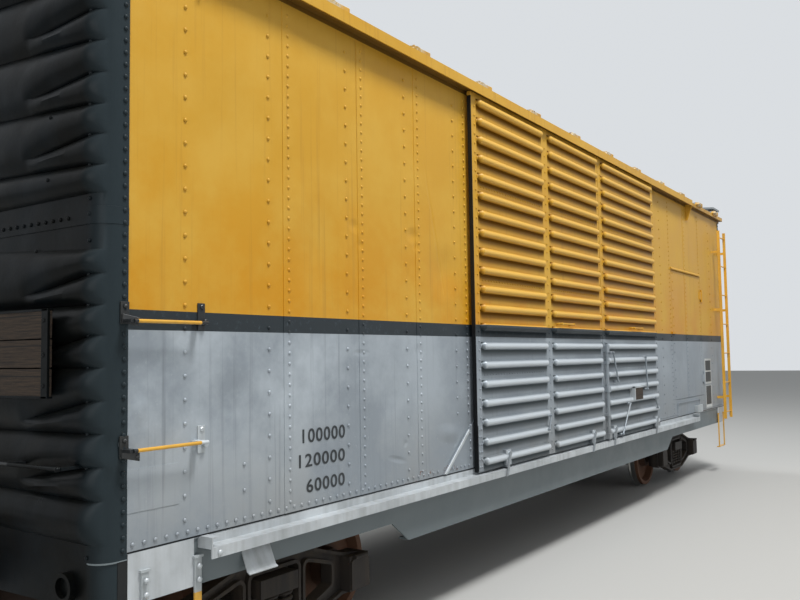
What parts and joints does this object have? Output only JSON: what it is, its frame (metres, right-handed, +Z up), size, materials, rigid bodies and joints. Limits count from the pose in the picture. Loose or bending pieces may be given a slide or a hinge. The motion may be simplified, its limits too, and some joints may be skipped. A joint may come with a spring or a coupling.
{
  "type": "railroad boxcar",
  "caption": "Railroad boxcar with pressed ribbed steel ends, staggered sliding doors, a side access door, ladders, couplers and two swiveling trucks.",
  "frame": {"origin": "middle of the car at the lowest point of the wheel flanges, 25 mm below the rail head", "axes": "+X along the car towards the brake wheel end, -Y out of the side with the access door, +Z up"},
  "size_m": [13.66, 3.18, 4.5558],
  "materials": {
    "side_paint": "weathered satin",
    "end_paint": "matte",
    "roof_paint": "weathered satin",
    "sill_paint": "weathered satin",
    "grab_paint": "satin",
    "underframe_steel": "matte",
    "floor_planks": "worn",
    "board_planks": "weathered",
    "running_board_steel": "galvanized",
    "coupler_iron": "rusted",
    "truck_iron": "grimy",
    "spring_steel": "grimy",
    "wheel_steel": "rusted with bright tread"
  },
  "bodies": {
    "car_body": {"near_left_side": "side_paint", "near_door_post_side": "side_paint", "near_corner_side": "side_paint", "near_access_surround": "side_paint", "far_left_side": "side_paint", "far_right_side": "side_paint", "door_headers": "side_paint", "left_end_upper": "end_paint", "left_end_lower": "end_paint", "right_end_upper": "end_paint", "right_end_lower": "end_paint", "near_roof": "roof_paint", "far_roof": "roof_paint", "floor": "floor_planks", "center_sill": "underframe_steel", "near_side_sill": "sill_paint", "far_side_sill": "sill_paint", "end_sills": "end_paint", "body_bolsters": "underframe_steel", "cross_bearers": "underframe_steel", "floor_stringers": "underframe_steel", "door_tracks": "sill_paint", "door_hoods": "side_paint", "draft_gear": "underframe_steel", "brake_gear_housing": "end_paint", "ladder_rails": "grab_paint", "ladder_rungs": "grab_paint", "grab_irons": "grab_paint", "sill_steps": "grab_paint", "route_boards": "board_planks", "running_board": "running_board_steel", "air_brake_set": "underframe_steel", "uncoupling_levers": "underframe_steel"},
    "left_truck": {"left_truck_side_frames": "truck_iron", "left_truck_bolster": "truck_iron", "left_truck_springs": "spring_steel", "left_brake_beams": "truck_iron"},
    "right_truck": {"right_truck_side_frames": "truck_iron", "right_truck_bolster": "truck_iron", "right_truck_springs": "spring_steel", "right_brake_beams": "truck_iron"},
    "near_wide_door": {"near_wide_door": "side_paint"},
    "near_narrow_door": {"near_narrow_door": "side_paint"},
    "far_wide_door": {"far_wide_door": "side_paint"},
    "far_narrow_door": {"far_narrow_door": "side_paint"},
    "access_door": {"access_door": "side_paint"},
    "left_coupler": {"left_coupler": "coupler_iron"},
    "right_coupler": {"right_coupler": "coupler_iron"},
    "left_knuckle": {"left_knuckle": "coupler_iron"},
    "right_knuckle": {"right_knuckle": "coupler_iron"},
    "brake_wheel": {"brake_wheel": "end_paint"},
    "left_truck_left_wheelset": {"left_truck_left_axle": "wheel_steel", "left_truck_left_wheels": "wheel_steel"},
    "left_truck_right_wheelset": {"left_truck_right_axle": "wheel_steel", "left_truck_right_wheels": "wheel_steel"},
    "right_truck_left_wheelset": {"right_truck_left_axle": "wheel_steel", "right_truck_left_wheels": "wheel_steel"},
    "right_truck_right_wheelset": {"right_truck_right_axle": "wheel_steel", "right_truck_right_wheels": "wheel_steel"}
  },
  "joints": [
    {"name": "left_truck_swivel", "type": "hinge", "parent": "car_body", "child": "left_truck", "pos_m": [-4.65, 0, 0.67], "axis": [0, 0, 1], "range_deg": [-7, 7]},
    {"name": "left_truck_left_wheelset_roll", "type": "hinge", "parent": "left_truck", "child": "left_truck_left_wheelset", "pos_m": [-5.488, 0, 0.444], "axis": [0, 1, 0], "continuous": true},
    {"name": "left_truck_right_wheelset_roll", "type": "hinge", "parent": "left_truck", "child": "left_truck_right_wheelset", "pos_m": [-3.812, 0, 0.444], "axis": [0, 1, 0], "continuous": true},
    {"name": "right_truck_swivel", "type": "hinge", "parent": "car_body", "child": "right_truck", "pos_m": [4.65, 0, 0.67], "axis": [0, 0, 1], "range_deg": [-7, 7]},
    {"name": "right_truck_left_wheelset_roll", "type": "hinge", "parent": "right_truck", "child": "right_truck_left_wheelset", "pos_m": [3.812, 0, 0.444], "axis": [0, 1, 0], "continuous": true},
    {"name": "right_truck_right_wheelset_roll", "type": "hinge", "parent": "right_truck", "child": "right_truck_right_wheelset", "pos_m": [5.488, 0, 0.444], "axis": [0, 1, 0], "continuous": true},
    {"name": "near_wide_door_slide", "type": "slide", "parent": "car_body", "child": "near_wide_door", "axis": [-1, 0, 0], "range_m": [0, 2.9]},
    {"name": "near_narrow_door_slide", "type": "slide", "parent": "car_body", "child": "near_narrow_door", "axis": [1, 0, 0], "range_m": [0, 1.8]},
    {"name": "far_wide_door_slide", "type": "slide", "parent": "car_body", "child": "far_wide_door", "axis": [1, 0, 0], "range_m": [0, 2.9]},
    {"name": "far_narrow_door_slide", "type": "slide", "parent": "car_body", "child": "far_narrow_door", "axis": [-1, 0, 0], "range_m": [0, 1.8]},
    {"name": "access_door_hinge", "type": "hinge", "parent": "car_body", "child": "access_door", "pos_m": [4.865, -1.464, 0], "axis": [0, 0, 1], "range_deg": [0, 100]},
    {"name": "left_coupler_swing", "type": "hinge", "parent": "car_body", "child": "left_coupler", "pos_m": [-6.044, 0, 0.901], "axis": [0, 0, 1], "range_deg": [-7, 7]},
    {"name": "left_knuckle_swing", "type": "hinge", "parent": "left_coupler", "child": "left_knuckle", "pos_m": [-6.66, -0.095, 0.901], "axis": [0, 0, 1], "range_deg": [0, 45]},
    {"name": "right_coupler_swing", "type": "hinge", "parent": "car_body", "child": "right_coupler", "pos_m": [6.044, 0, 0.901], "axis": [0, 0, 1], "range_deg": [-7, 7]},
    {"name": "right_knuckle_swing", "type": "hinge", "parent": "right_coupler", "child": "right_knuckle", "pos_m": [6.66, 0.095, 0.901], "axis": [0, 0, 1], "range_deg": [0, 45]},
    {"name": "brake_wheel_turn", "type": "hinge", "parent": "car_body", "child": "brake_wheel", "pos_m": [6.5, -0.42, 3.56], "axis": [1, 0, 0], "continuous": true}
  ]
}
